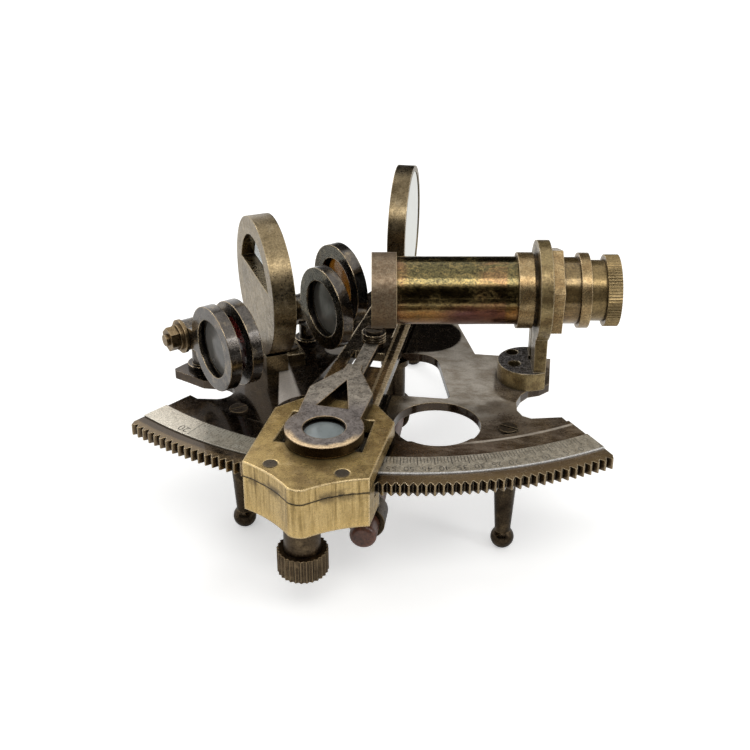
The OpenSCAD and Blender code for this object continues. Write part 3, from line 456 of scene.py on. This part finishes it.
def tube_colour(s, colour):
    """Olive above, gold in blotches, orange and plum painted below as reflections, a painted shadow along
    the bottom, red by the objective.
    """
    x, _, _ = s.xyz()
    up = s.normal_z()
    blur = s.noise(4.5, 4, 0.65, s.coords(TUBE_MARKS, (0.5, 1, 1)), distort=0.8)
    mott = s.noise(0.75, 4, 0.75, s.coords(TUBE_MARKS, (0.75, 1, 1)))
    patch = s.noise(3.2, 3, 0.6, s.coords(TUBE_MARKS, (0.6, 1, 1), (9, 2, 7)))
    tilt = s.plus(up, s.times(s.less(blur, 0.5), 0.7))
    colour = s.mix(s.step(tilt, 0.35, 0.85), colour, (0.125, 0.108, 0.048))
    gold = s.times(s.step(mott, 0.44, 0.60), s.step(patch, 0.38, 0.56, 0.25, 1.0), 0.75)
    colour = s.mix(gold, colour, (0.30, 0.215, 0.078))
    dark = s.times(s.step(mott, 0.50, 0.36), s.step(patch, 0.62, 0.44, 0.3, 1.0), 0.85)
    colour = s.mix(dark, colour, (0.035, 0.022, 0.007))
    # Painted reflection: orange on the lower side
    orange_reflection = s.times(s.step(tilt, 0.05, -0.3), s.step(patch, 0.34, 0.52, 0.35, 1.0), 0.75)
    colour = s.mix(orange_reflection, colour, (0.38, 0.17, 0.04))
    in_front = s.step(x, 31.0, 30.0)
    # Painted reflection: plum on the lower side in front of the bracket
    plum_reflection = s.times(s.step(tilt, 0.1, -0.3), s.step(x, 12.0, 20.0), in_front, 0.85)
    colour = s.mix(plum_reflection, colour, (0.13, 0.048, 0.052))
    ends = s.most(s.step(x, 7.5, 3.0), s.times(s.step(x, 22.0, 26.0), 0.6, in_front))
    colour = s.mix(s.times(ends, s.step(blur, 0.36, 0.56), 0.6), colour, (0.34, 0.15, 0.07))
    dull = s.times(s.step(patch, 0.46, 0.62), s.step(mott, 0.36, 0.56))
    behind = s.step(along_tube(s), 1.0, 2.0)
    brown = s.mix(s.step(blur, 0.4, 0.6), (0.30, 0.21, 0.095), (0.17, 0.11, 0.045))
    colour = s.mix(s.times(behind, 0.85), colour, brown)
    # Painted shadow: near black along the bottom of the tube
    return {"colour": s.mix(s.step(up, -0.82, -0.95), colour, (0.03, 0.015, 0.006)),
            "matte": s.most(s.times(dull, 0.22), s.times(behind, 0.35))}


def collar_colour(s, colour):
    """Brushed collars with a black band of painted shade, as in a gap, in front of the bracket, and the dull
    objective cell.
    """
    t = along_tube(s)
    _, _, z = s.xyz()
    above_foot = s.step(z, LIMB_TOP + 6.0, LIMB_TOP + 8.0)
    # Painted shade: a black band round the collar where it meets the bracket
    painted_gap_shade = s.times(s.band(t, -2.75, -2.55, -1.66, -1.56), above_foot)
    colour = s.mix(painted_gap_shade, colour, (0.01, 0.007, 0.004))
    spots = s.noise(0.9, 4, 0.75, s.coords(shift=(1, 1, 9)))
    cell = s.step(t, CELL_END + 1.0, CELL_END - 1.0)
    spotted = s.mix(s.step(spots, 0.4, 0.62), (0.225, 0.17, 0.112), (0.15, 0.10, 0.062))
    colour = s.mix(s.times(cell, 0.92), colour, spotted)
    patina = s.step(s.noise(2.4, 4, 0.65, s.coords(TUBE_MARKS, (0.7, 1, 1), (1, 7, 2))), 0.42, 0.62)
    warm = s.times(patina, s.less(0.6, s.times(cell, 0.6)))
    return {"colour": s.mix(warm, colour, (0.24, 0.145, 0.06)),
            "matte": s.math("MULTIPLY_ADD", cell, 0.1, 0.2),
            "rough": s.times(cell, 0.16)}


def magnifier_colour(s, colour):
    """Black lever: rubbed to bright brass round the front of the eye, pale scuffs, black sides."""
    lo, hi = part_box("reading_lens")
    x, y, _ = s.xyz()
    dx = s.less(x, (lo[0] + hi[0]) / 2 / MM)
    dy = s.less(y, (lo[1] + hi[1]) / 2 / MM)
    r = s.length(dx, dy)
    up = s.step(s.normal_z(), 0.5, 0.85)
    scuff = s.noise(2.2, 4, 0.65, s.coords(shift=(8, 8, 1)))
    fine = s.noise(0.8, 4, 0.7, s.coords(shift=(4, 6, 2)))
    rubbed = s.times(s.step(scuff, 0.32, 0.56, 0.6, 1.0), up, s.step(fine, 0.36, 0.56, 0.72, 1.0))
    grey = s.mix(s.step(dy, 8.0, 15.0), (0.27, 0.235, 0.215), (0.46, 0.405, 0.33))
    colour = s.mix(s.times(rubbed, 0.93), colour, grey)
    front = s.step(s.plus(s.math("DIVIDE", dy, r), s.times(scuff, 0.5)), 0.15, -0.35)
    bare = s.times(s.step(s.plus(r, s.times(scuff, 2.2)), 8.2, 9.6), front, up)
    colour = s.mix(bare, colour, (0.92, 0.68, 0.41))
    return {"colour": s.mix(s.times(s.step(up, 0.5, 0.0), 0.85), colour, (0.02, 0.013, 0.007)),
            "matte": s.times(s.most(rubbed, bare), 0.6)}


def rim_colour(s, colour):
    """The index mirror's rim is painted darker, as shade; the telescope's bracket olive with a spotted grey
    foot.
    """
    x, _, z = s.xyz()
    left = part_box("telescope_bracket")[0][0] / MM
    bracket = s.step(x, left - 0.6, left - 0.2)
    # Painted shade: two thirds as bright from x = -18 mm on, over the index mirror's rim
    colour = s.scaled(colour, s.step(x, -26.0, -18.0, 1.0, 0.66))
    patina = s.noise(3.0, 4, 0.6, s.coords(shift=(2, 2, 6)))
    olive = s.mix(s.step(patina, 0.38, 0.62), (0.33, 0.245, 0.11), (0.17, 0.115, 0.045))
    colour = s.mix(s.times(bracket, 0.85), colour, olive)
    spots = s.noise(0.9, 4, 0.75, s.coords(shift=(1, 1, 9)))
    grey = s.mix(s.step(spots, 0.42, 0.60), (0.05, 0.045, 0.045), (0.30, 0.28, 0.275))
    foot_top = s.times(s.step(s.normal_z(), 0.9, 0.97), s.step(z, LIMB_TOP + 6.5, LIMB_TOP + 5.5), bracket)
    return {"colour": s.mix(s.times(foot_top, 0.95), colour, grey),
            "matte": s.times(bracket, 0.35)}


def scale_colour(s, colour):
    """Silver that is bright at the left end, grey along the divided part as painted shade, with a painted
    highlight along its outer edge on the right. The vernier under the box's cover is painted dark as shade.
    """
    r, a = radius_of(s)
    _, _, z = s.xyz()
    # Painted shade: the divided part is grey, deepest towards its left end
    worn = s.step(a, -30.0, -21.0)
    spots = s.noise(1.4, 4, 0.7, s.coords(shift=(6, 2, 5)))
    grey = s.mix(s.step(spots, 0.35, 0.62), (0.46, 0.415, 0.33), (0.27, 0.24, 0.185))
    grey = s.mix(s.step(a, -12.0, 4.0, 0.55, 0.0), grey, (0.15, 0.135, 0.10))
    colour = s.mix(s.times(worn, 0.92), colour, grey)
    # Painted highlight: a thin bright line along the outer edge on the right
    rim = s.times(s.step(r, 94.95, 95.2), s.step(a, -4.0, 4.0))
    colour = s.mix(rim, colour, (0.80, 0.80, 0.80))
    # Painted shade: the vernier, under the box's cover, is dark
    vernier = s.step(z, LIMB_TOP + 0.5, LIMB_TOP + 0.6)
    return {"colour": s.mix(s.times(vernier, 0.9), colour, (0.07, 0.062, 0.05)),
            "matte": s.times(worn, 0.6)}


def ink(name):
    """Black wax left in engraved strokes, thin and patchy. Along the grey part of the scale the strokes are
    light, bare of wax and painted as a highlight.
    """
    s = Shade(name)
    _, a = radius_of(s)
    n = s.noise(1.2, 4, 0.7)
    # Painted highlight with wear: light strokes along the grey part of the scale
    bare = s.times(s.step(a, -27.0, -26.2), s.step(a, 2.0, -2.0), 0.9)
    colour = s.mix(bare, (0.03, 0.024, 0.018), (0.36, 0.35, 0.29))
    gone = s.times(s.step(a, 16.0, 28.0), s.step(n, 0.25, 0.6), 0.75)
    s.give("Base Color", s.mix(gone, colour, (0.17, 0.155, 0.12)))
    s.give("Roughness", s.step(n, 0.3, 0.7, 0.4, 0.7))
    return s.mat


# Brush marks of the box, straight up and down
UPRIGHT = (0.0, (1.0, 1.0, 0.045), 0.45)
MATS = {
    "bronze_dark": metal("bronze_dark", (0.052, 0.035, 0.022), (0.02, 0.013, 0.008), (0.15, 0.105, 0.06),
                         rough=(0.16, 0.3), stain=(11, 0.6), speck=0.4, edge=(0.3, 0.95), dirt=(2.5, 0.85),
                         pits=0.008, coat=(0.5, 0.06, 1.5), extra=limb_colour, grain=0.14),
    "scale_silver": metal("scale_silver", (0.62, 0.565, 0.47), (0.40, 0.35, 0.27), (0.80, 0.76, 0.68),
                          rough=(0.22, 0.36), stain=(8, 0.35), speck=0.3, edge=(0.15, 0.6),
                          dirt=(0.8, 0.5), pits=0.006, extra=scale_colour),
    "leg_brass": metal("leg_brass", (0.058, 0.042, 0.026), (0.02, 0.014, 0.009), (0.26, 0.185, 0.10),
                       rough=(0.2, 0.38), stain=(5, 0.7), edge=(0.35, 0.8), dirt=(2, 0.8)),
    "screw_brass": metal("screw_brass", (0.085, 0.066, 0.046), (0.028, 0.02, 0.014), (0.30, 0.22, 0.125),
                         rough=(0.26, 0.42), edge=(0.2, 0.9), dirt=(0.8, 0.95), metallic=0.8),
    "rosewood": wood("rosewood"),
    "arm_brass": metal("arm_brass", (0.065, 0.046, 0.026), (0.022, 0.015, 0.009), (0.62, 0.49, 0.31),
                       rough=(0.16, 0.32), stain=(9, 0.7), edge=(0.62, 1.0), dirt=(3, 0.85),
                       brush=(ARM_REST, (1.0, 0.05, 1.0), 0.4), extra=arm_colour),
    "box_brass": metal("box_brass", (0.52, 0.365, 0.14), (0.22, 0.145, 0.055), (0.86, 0.66, 0.36),
                       rough=(0.22, 0.36), stain=(9, 0.5), speck=0.3, edge=(0.75, 1.0), dirt=(2.2, 0.85),
                       pits=0.008, brush=UPRIGHT, extra=box_colour, metallic=0.72, grain=0.14),
    "knob_brass": metal("knob_brass", (0.085, 0.061, 0.038), (0.026, 0.018, 0.011), (0.36, 0.265, 0.15),
                        rough=(0.26, 0.42), stain=(4, 0.6), edge=(0.25, 0.95), dirt=(0.9, 1.0)),
    "magnifier_metal": metal("magnifier_metal", (0.085, 0.070, 0.061), (0.02, 0.014, 0.011),
                             (0.46, 0.33, 0.19), rough=(0.22, 0.38), stain=(5, 0.6), speck=0.4,
                             edge=(0.45, 0.9), dirt=(1.5, 0.8), extra=magnifier_colour),
    "lens_glass": glass("lens_glass", (0.62, 0.69, 0.71), 0.04, haze=0.12),
    "bloomed_glass": milky("bloomed_glass", (0.30, 0.335, 0.335), 0.25, 0.12),
    "mirror_rim": metal("mirror_rim", (0.27, 0.205, 0.115), (0.09, 0.062, 0.028), (0.60, 0.49, 0.32),
                        rough=(0.22, 0.38), stain=(8, 0.65), speck=0.35, edge=(0.35, 0.85), dirt=(3, 0.85),
                        brush=(0.0, (0.25, 0.25, 1.0), 0.3), extra=rim_colour),
    "mirror_silver": metal("mirror_silver", (0.72, 0.74, 0.67), (0.6, 0.6, 0.55), (0.9, 0.9, 0.86),
                           rough=(0.015, 0.06), stain=(6, 0.25), speck=0.15, edge=(0.1, 0.2),
                           dirt=(0.8, 0.3), pits=0.0005, grain=0.05),
    "clear_glass": glass("clear_glass", (0.95, 0.98, 0.97), 0.01),
    "shade_metal": metal("shade_metal", (0.105, 0.092, 0.079), (0.035, 0.028, 0.023), (0.58, 0.45, 0.28),
                         rough=(0.17, 0.3), stain=(4, 0.6), speck=0.45, edge=(0.36, 1.0), dirt=(1.5, 0.85),
                         coat=(0.4, 0.1, 1.5)),
    "grey_glass": milky("grey_glass", (0.135, 0.128, 0.115), 0.12, 0.16),
    "red_glass": milky("red_glass", (0.08, 0.012, 0.01), 0.6, 0.04),
    "amber_glass": milky("amber_glass", (0.24, 0.095, 0.012), 0.7, 0.05),
    "nut_brass": metal("nut_brass", (0.26, 0.185, 0.10), (0.075, 0.047, 0.023), (0.52, 0.39, 0.23),
                       rough=(0.24, 0.4), stain=(3, 0.6), edge=(0.25, 0.95), dirt=(1, 0.9)),
    "tube_brass": metal("tube_brass", (0.16, 0.115, 0.045), (0.08, 0.045, 0.014), (0.34, 0.24, 0.09),
                        rough=(0.12, 0.22), stain=(5, 0.5), speck=0.3, edge=(0.2, 0.6), dirt=(1.5, 0.85),
                        pits=0.008, coat=(0.2, 0.1, 1.5), extra=tube_colour, grain=0.35),
    "collar_brass": metal("collar_brass", (0.40, 0.285, 0.14), (0.12, 0.082, 0.038), (0.70, 0.54, 0.32),
                          rough=(0.2, 0.36), stain=(5, 0.6), edge=(0.3, 0.9), dirt=(1.2, 1.0),
                          brush=(TUBE_MARKS, (0.12, 1.0, 1.0), 0.35), extra=collar_colour),
    "cap_brass": metal("cap_brass", (0.25, 0.175, 0.075), (0.085, 0.055, 0.02), (0.52, 0.39, 0.20),
                       rough=(0.2, 0.36), stain=(5, 0.55), edge=(0.2, 0.95), dirt=(0.9, 1.0),
                       brush=(TUBE_MARKS, (0.15, 1.0, 1.0), 0.25), metallic=0.72),
}
INK = ink("scale_ink")

slot_of = {p["node"]: p["material_slot"] for p in frame["record"]["subparts"]}


def dress(obj, mat):
    obj.data.materials.clear()
    obj.data.materials.append(mat)
    for poly in obj.data.polygons:
        poly.material_index = 0


for name in frame["nodes"]:
    obj = bpy.data.objects.get(name)
    if obj:
        dress(obj, MATS[slot_of[name]])


# Pieces made here

def piece(name, mesh, mat, body, node=None):
    """Adds a mesh that rides on a body, in place of the node if one is named."""
    obj = bpy.data.objects.new(name, mesh)
    scene.collection.objects.link(obj)
    dress(obj, mat)
    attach(obj, body)
    if node:
        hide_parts(node)


def from_bmesh(name, bm, smooth=False):
    bmesh.ops.recalc_face_normals(bm, faces=bm.faces)
    mesh = bpy.data.meshes.new(name)
    bm.to_mesh(mesh)
    bm.free()
    if smooth:
        for poly in mesh.polygons:
            poly.use_smooth = True
    return mesh


def on_arc(r, a, z):
    """Point at a radius and angle round the index axis and a height above the limb, from mm to metres."""
    return Vector((r * math.cos(a) * MM, r * math.sin(a) * MM + AXIS_Y, z * MM + LIMB_Z))


def bar(bm, a, r0, r1, width, z):
    """Thin engraved stroke along a radius."""
    side = Vector((-math.sin(a), math.cos(a), 0)) * (width * MM / 2)
    p, q = on_arc(r0, a, z), on_arc(r1, a, z)
    bm.faces.new([bm.verts.new(v) for v in (p - side, q - side, q + side, p + side)])


def digits(bm, text, size, centre, turn):
    """Plain numerals laid flat, turned about Z."""
    curve = bpy.data.curves.new("digits", "FONT")
    curve.body = text
    curve.size = size * MM
    curve.align_x = "CENTER"
    curve.align_y = "CENTER"
    # A little thinner than the font draws them
    curve.offset = -0.012 * size * MM
    obj = bpy.data.objects.new("digits", curve)
    scene.collection.objects.link(obj)
    bpy.context.view_layer.update()
    mesh = bpy.data.meshes.new_from_object(obj.evaluated_get(bpy.context.evaluated_depsgraph_get()))
    c, s = math.cos(turn), math.sin(turn)
    for v in mesh.vertices:
        x, y = v.co.x, v.co.y
        v.co = centre + Vector((c * x - s * y, s * x + c * y, 0))
    bm.from_mesh(mesh)
    bpy.data.objects.remove(obj)
    bpy.data.curves.remove(curve)
    bpy.data.meshes.remove(mesh)


# The scale runs from 0 on the right to its last mark on the left, one unit for each half degree
LAST = 120
UNIT = math.radians(0.5)
LAST_ANGLE = math.radians(-116.6)
# Strokes lie this far above the silver, in mm
LIFT = 0.012
# Radius at the middle of the numerals, and the one on which their shift along the arc is reckoned
NUMERAL_R = SCALE_IN + 4.95
SHIFT_R = 93.2


def mark_angle(v):
    """Angle of the stroke for v units."""
    return LAST_ANGLE + (LAST - v) * UNIT


bm = bmesh.new()
for v in range(LAST + 1):
    length = 6.3 if v == LAST else 3.3 if v % 5 == 0 else 2.4
    width = 0.21 if v % 5 == 0 else 0.16
    bar(bm, mark_angle(v), SCALE_IN + 0.2, SCALE_IN + 0.2 + length, width, SCALE_TOP + LIFT)
piece("scale_divisions", from_bmesh("scale_divisions", bm), INK, "frame")

# Numerals every 5 units, every 10 beyond 100; the one at the last mark reads 20 as in the photo
bm = bmesh.new()
for v in range(0, LAST + 1, 5):
    if v > 100 and v % 10:
        continue
    text = "20" if v == LAST else str(v)
    size = 3.1 if v == LAST else 2.7 if v < 100 else 2.2
    half = 0.31 * size * len(text) + 0.35
    a = mark_angle(v) - half / SHIFT_R
    digits(bm, text, size, on_arc(NUMERAL_R, a, SCALE_TOP + LIFT), a + math.radians(270))
piece("scale_numerals", from_bmesh("scale_numerals", bm), INK, "frame")

# Vernier: 30 parts, each 0.95 of a unit
VERNIER_PARTS = 30
bm = bmesh.new()
for k in range(VERNIER_PARTS + 1):
    a = math.radians(-90) + ARM_REST + (k - VERNIER_PARTS // 2) * UNIT * 0.95
    length = 2.6 if k % 5 == 0 else 1.7
    bar(bm, a, SCALE_IN - 0.4 - length, SCALE_IN - 0.4, 0.12, COVER_Z + LIFT)
piece("vernier_divisions", from_bmesh("vernier_divisions", bm), INK, "index_arm")


def lens(name, centre, axis, r, t, bulge, mat, body, node, rings=10):
    """Biconvex lens with r, t and bulge in mm: a short edge and two shallow domes."""
    segments = 64
    axis = Vector(axis).normalized()
    u = axis.orthogonal().normalized()
    w = axis.cross(u)
    turns = [j * math.tau / segments for j in range(segments)]
    spokes = [u * math.cos(turn) + w * math.sin(turn) for turn in turns]
    bm = bmesh.new()
    rows = []
    for side in (1, -1):
        for i in range(rings + 1):
            k = i / rings if side == 1 else 1 - i / rings
            radius = r * math.sin(k * math.pi / 2)
            h = side * (t / 2 - bulge + bulge * math.cos(k * math.pi / 2))
            if radius < 1e-9:
                rows.append([bm.verts.new(centre + axis * h * MM)])
            else:
                rows.append([bm.verts.new(centre + (axis * h + spoke * radius) * MM) for spoke in spokes])
    for p, q in zip(rows, rows[1:]):
        for j in range(segments):
            after = (j + 1) % segments
            quad = [p[j % len(p)], p[after % len(p)], q[after % len(q)], q[j % len(q)]]
            # At a pole two corners are one, and the face is a triangle
            quad = list(dict.fromkeys(quad))
            if len(quad) > 2:
                bm.faces.new(quad)
    piece(name, from_bmesh(name, bm, True), mat, body, node)


def middle(node):
    lo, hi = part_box(node)
    return (Vector(lo) + Vector(hi)) / 2


TELE_AXIS = (math.cos(TELE_TURN), math.sin(TELE_TURN), 0)
lens("reading_lens_glass", middle("reading_lens") - Vector((0, 0, 0.5 * MM)), (0, 0, 1), 4.9, 1.4, 0.5,
     MATS["bloomed_glass"], "magnifier", "reading_lens")
lens("objective_lens_glass", middle("objective_lens"), TELE_AXIS, 7.5, 2.4, 0.9, MATS["lens_glass"],
     "frame", "objective_lens")
lens("eye_lens_glass", middle("eye_lens"), TELE_AXIS, 4.9, 1.8, 0.6, MATS["lens_glass"], "eyepiece",
     "eye_lens")

# Shade panes, nearly flat and set 0.8 mm along the shades' axis
SHADE_AXIS = Vector((math.cos(SHADE_TURN), math.sin(SHADE_TURN), 0))
for name in ("horizon_shade_dark", "horizon_shade_light", "index_shade_dark", "index_shade_light"):
    node = name + "_glass"
    lens(name + "_pane", middle(node) - SHADE_AXIS * 0.8 * MM, SHADE_AXIS, 7.34, 0.9, 0.08,
         MATS[slot_of[node]], name, node, rings=4)


# Stage, lights and camera

def stage_mesh(name, verts, faces, mat):
    mesh = bpy.data.meshes.new(name)
    mesh.from_pydata(verts, [], faces)
    obj = bpy.data.objects.new(name, mesh)
    scene.collection.objects.link(obj)
    obj.data.materials.append(mat)
    return obj


def stage_plane(name, x0, x1, y0, y1, z, mat):
    return stage_mesh(name, [(x0, y0, z), (x1, y0, z), (x1, y1, z), (x0, y1, z)], [(0, 1, 2, 3)], mat)


def plain(name, colour, rough):
    mat = bpy.data.materials.new(name)
    mat.use_nodes = True
    p = mat.node_tree.nodes["Principled BSDF"]
    p.inputs["Base Color"].default_value = (*colour, 1)
    p.inputs["Roughness"].default_value = rough
    p.inputs["Specular IOR Level"].default_value = 0.1
    return mat


def floor_material():
    """White paper: it glows by PAPER_LIFT for the camera, so it stays white and keeps the shadow."""
    mat = plain("floor_paper", (0.93, 0.93, 0.92), 0.9)
    nt = mat.node_tree
    p = nt.nodes["Principled BSDF"]
    rays = nt.nodes.new("ShaderNodeLightPath")
    lift = nt.nodes.new("ShaderNodeMapRange")
    lift.inputs[3].default_value = 0.0
    lift.inputs[4].default_value = PAPER_LIFT
    nt.links.new(rays.outputs["Is Camera Ray"], lift.inputs[0])
    p.inputs["Emission Color"].default_value = (1, 1, 1, 1)
    nt.links.new(lift.outputs[0], p.inputs["Emission Strength"])
    return mat


def hide(obj):
    """Leaves a stage mesh to be seen in reflections only."""
    obj.visible_camera = False
    obj.visible_diffuse = False
    obj.visible_shadow = False
    obj.visible_transmission = False


def flag(name, az0, az1, el0, el1, dist=0.95, cols=12, rows=4):
    """Curved black cloth round the object, seen only in the metal; angles in degrees, distance in m."""
    verts, faces = [], []
    for i in range(cols + 1):
        az = math.radians(az0 + (az1 - az0) * i / cols)
        for j in range(rows + 1):
            el = math.radians(el0 + (el1 - el0) * j / rows)
            verts.append((MIDDLE[0] + dist * math.cos(el) * math.cos(az),
                          MIDDLE[1] + dist * math.cos(el) * math.sin(az),
                          MIDDLE[2] + dist * math.sin(el)))
    for i in range(cols):
        for j in range(rows):
            k = i * (rows + 1) + j
            faces.append((k, k + 1, k + rows + 2, k + rows + 1))
    hide(stage_mesh(name, verts, faces, BLACK_CLOTH))


def area(name, place, size, power, colour=(1, 1, 1)):
    """Rectangular lamp that looks at the middle of the object."""
    light = bpy.data.lights.new(name, "AREA")
    light.shape = "RECTANGLE"
    light.size, light.size_y = size
    light.energy = power
    light.color = colour
    obj = bpy.data.objects.new(name, light)
    scene.collection.objects.link(obj)
    obj.location = place
    obj.rotation_euler = (Vector(MIDDLE) - Vector(place)).to_track_quat("-Z", "Y").to_euler()


# Middle of the object in metres
MIDDLE = (0, -0.08, 0.04)
PAPER_LIFT = 0.4
BLACK_CLOTH = plain("flag_cloth", (0.02, 0.018, 0.016), 1.0)

stage_plane("floor", -3.0, 3.0, -3.0, 3.0, 0, floor_material())
flag("front_flag", -144, -20, -2, 40, dist=1.15)
hide(stage_plane("floor_flag", -0.6, 0.65, -0.95, -0.225, 0.0006, BLACK_CLOTH))
flag("back_flag", 62, 105, -1, 46)

area("key_softbox", (0.10, -0.60, 0.82), (0.9, 0.30), 2.6, (1.0, 0.985, 0.96))
area("side_softbox", (0.93, -0.40, 0.58), (0.16, 0.5), 1.6, (0.97, 0.98, 1.0))
area("back_lamp", (-0.36, 0.42, 0.74), (0.22, 0.16), 1.2)

# White surroundings: full for the camera, for glass and for reflections, weaker as light
AS_LIGHT = 0.6
world = bpy.data.worlds.new("studio")
scene.world = world
world.use_nodes = True
wt = world.node_tree
wt.nodes.clear()
rays = wt.nodes.new("ShaderNodeLightPath")
full = rays.outputs["Is Camera Ray"]
for kind in ("Is Transmission Ray", "Is Glossy Ray"):
    either = wt.nodes.new("ShaderNodeMath")
    either.operation = "MAXIMUM"
    wt.links.new(full, either.inputs[0])
    wt.links.new(rays.outputs[kind], either.inputs[1])
    full = either.outputs[0]
level = wt.nodes.new("ShaderNodeMapRange")
level.inputs[3].default_value = AS_LIGHT
level.inputs[4].default_value = 1.0
wt.links.new(full, level.inputs[0])
back = wt.nodes.new("ShaderNodeBackground")
back.inputs[0].default_value = (1, 1, 1, 1)
wt.links.new(level.outputs[0], back.inputs[1])
world_out = wt.nodes.new("ShaderNodeOutputWorld")
wt.links.new(back.outputs[0], world_out.inputs[0])

# Camera solved from the photo: turned about Z, looking down, at a place in metres above the limb
CAMERA_TURN = math.radians(7.92)
CAMERA_DOWN = 0.505
CAMERA_PLACE = (0.0383, -0.3628, 0.16266 + LIMB_Z)
camera = bpy.data.cameras.new("camera")
camera.lens = 62.4
camera.sensor_width = 36
camera_obj = bpy.data.objects.new("camera", camera)
scene.collection.objects.link(camera_obj)
camera_obj.location = CAMERA_PLACE
camera_obj.rotation_euler = (math.radians(90) - CAMERA_DOWN, 0, CAMERA_TURN)
scene.camera = camera_obj

scene.view_settings.view_transform = "Standard"
